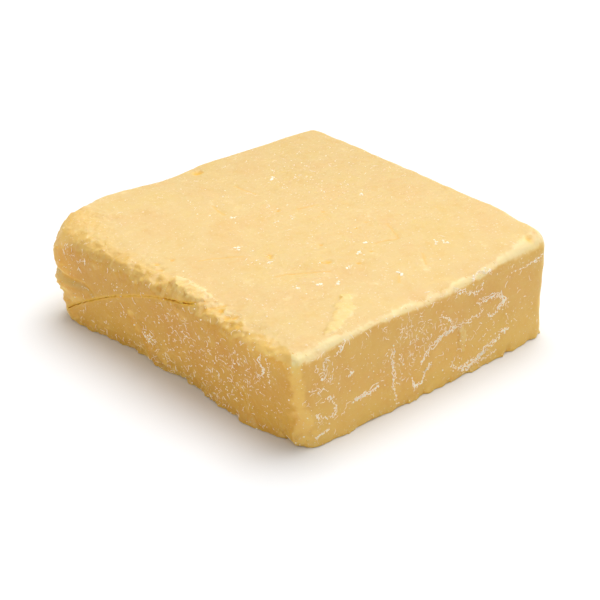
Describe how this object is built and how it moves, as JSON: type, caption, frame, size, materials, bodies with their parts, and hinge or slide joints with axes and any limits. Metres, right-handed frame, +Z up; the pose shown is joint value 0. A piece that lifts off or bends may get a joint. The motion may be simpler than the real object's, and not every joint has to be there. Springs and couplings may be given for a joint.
{
  "type": "cheddar block",
  "caption": "Low square block of cheddar with one crumbly, cracked side, rounded edges, pale dried crust lines, torn flakes and small crystals.",
  "frame": {"origin": "middle of the block's box, on the face it rests on", "axes": "+Z up, +X out of the smooth side with the crust lines, -Y out of the crumbly side with the crack"},
  "size_m": [0.1174, 0.11, 0.0348],
  "materials": {
    "cheese": "pale yellow cheddar, slightly waxy and translucent, with whitish dried crust and crystals"
  },
  "bodies": {
    "root": {"cheese_block": "cheese"}
  },
  "joints": []
}
